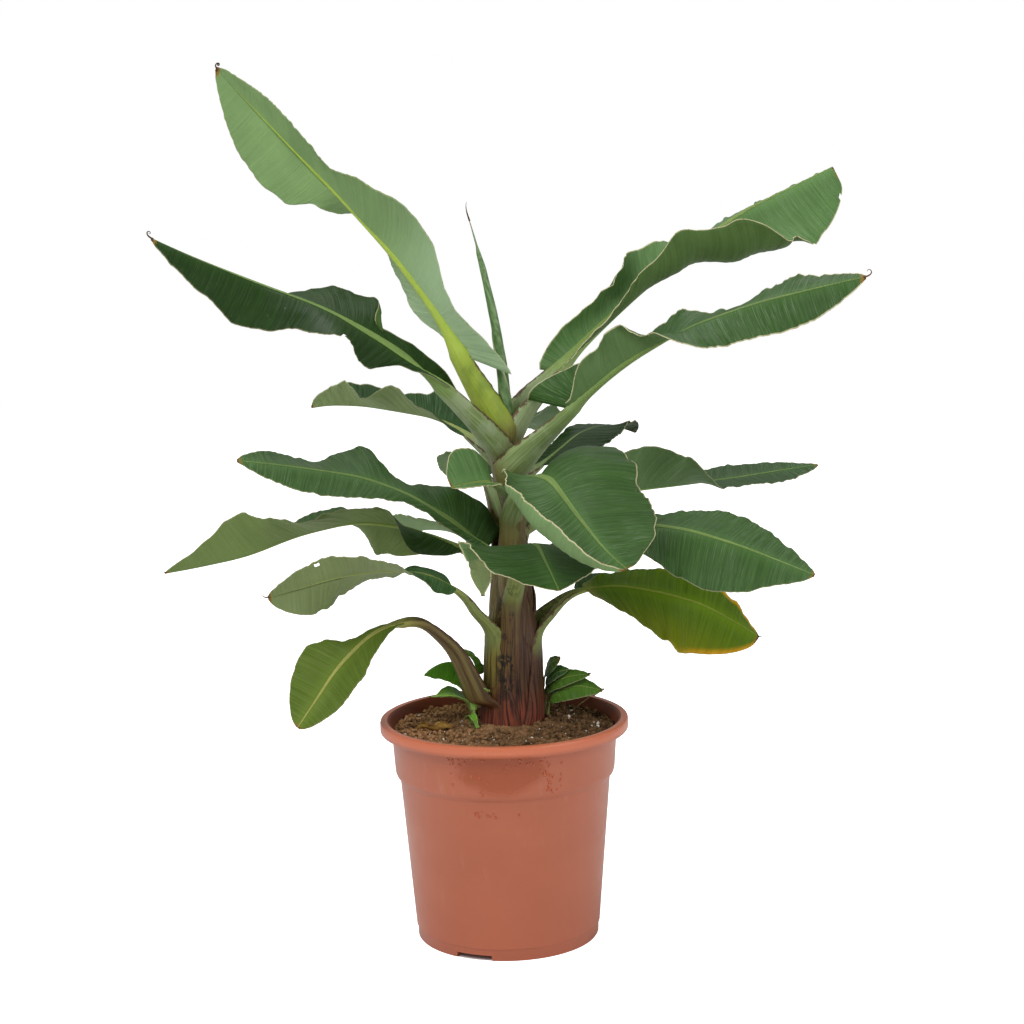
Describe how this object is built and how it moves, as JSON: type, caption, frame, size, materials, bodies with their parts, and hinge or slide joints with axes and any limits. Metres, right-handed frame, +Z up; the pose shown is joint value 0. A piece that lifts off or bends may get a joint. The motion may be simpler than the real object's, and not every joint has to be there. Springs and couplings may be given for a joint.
{
  "type": "potted banana plant",
  "caption": "Dwarf banana plant with broad paddle leaves on arching stalks round one stem, standing in a round terracotta-coloured plastic nursery pot.",
  "frame": {"origin": "middle of the flat underside of the pot, where it stands", "axes": "+Z up along the stem, -Y toward the side the plant is seen from, +X to that view's right"},
  "size_m": [0.6903, 0.536, 0.8462],
  "materials": {
    "pot": "satin",
    "soil": "rough",
    "stem": "satin",
    "stalk": "satin",
    "leaf": "satin",
    "yellowing_leaf": "satin",
    "young_leaf": "satin"
  },
  "bodies": {
    "root": {"pot": "pot", "soil": "soil", "stem": "stem", "rolled_leaf": "young_leaf", "stalk_tall_left": "stalk", "stalk_high_left": "stalk", "stalk_back_left": "stalk", "stalk_mid_left": "stalk", "stalk_long_left": "stalk", "stalk_low_left": "stalk", "stalk_drooping_left": "stalk", "stalk_tall_right": "stalk", "stalk_high_right": "stalk", "stalk_back_right": "stalk", "stalk_mid_right": "stalk", "stalk_broad_right": "stalk", "stalk_low_right": "stalk", "stalk_front_right": "stalk", "stalk_front_low": "stalk", "stalk_front_left": "stalk", "stalk_rear_right": "stalk", "stalk_rear_left": "stalk", "stalk_rear_low": "stalk", "stalk_rear_high": "stalk", "stalk_rear_mid": "stalk", "leaf_tall_left": "leaf", "leaf_high_left": "leaf", "leaf_back_left": "leaf", "leaf_mid_left": "leaf", "leaf_long_left": "leaf", "leaf_low_left": "leaf", "leaf_drooping_left": "leaf", "leaf_tall_right": "leaf", "leaf_high_right": "leaf", "leaf_back_right": "leaf", "leaf_mid_right": "leaf", "leaf_broad_right": "leaf", "leaf_low_right": "yellowing_leaf", "leaf_front_right": "leaf", "leaf_front_low": "leaf", "leaf_front_left": "leaf", "leaf_rear_right": "leaf", "leaf_rear_left": "leaf", "leaf_rear_low": "leaf", "leaf_rear_high": "leaf", "leaf_rear_mid": "leaf", "shoot_left": "stalk", "shoot_right": "stalk", "shoot_leaf_left_1": "young_leaf", "shoot_leaf_left_2": "young_leaf", "shoot_leaf_left_3": "young_leaf", "shoot_leaf_right_1": "young_leaf", "shoot_leaf_right_2": "young_leaf", "shoot_leaf_right_3": "young_leaf"}
  },
  "joints": []
}
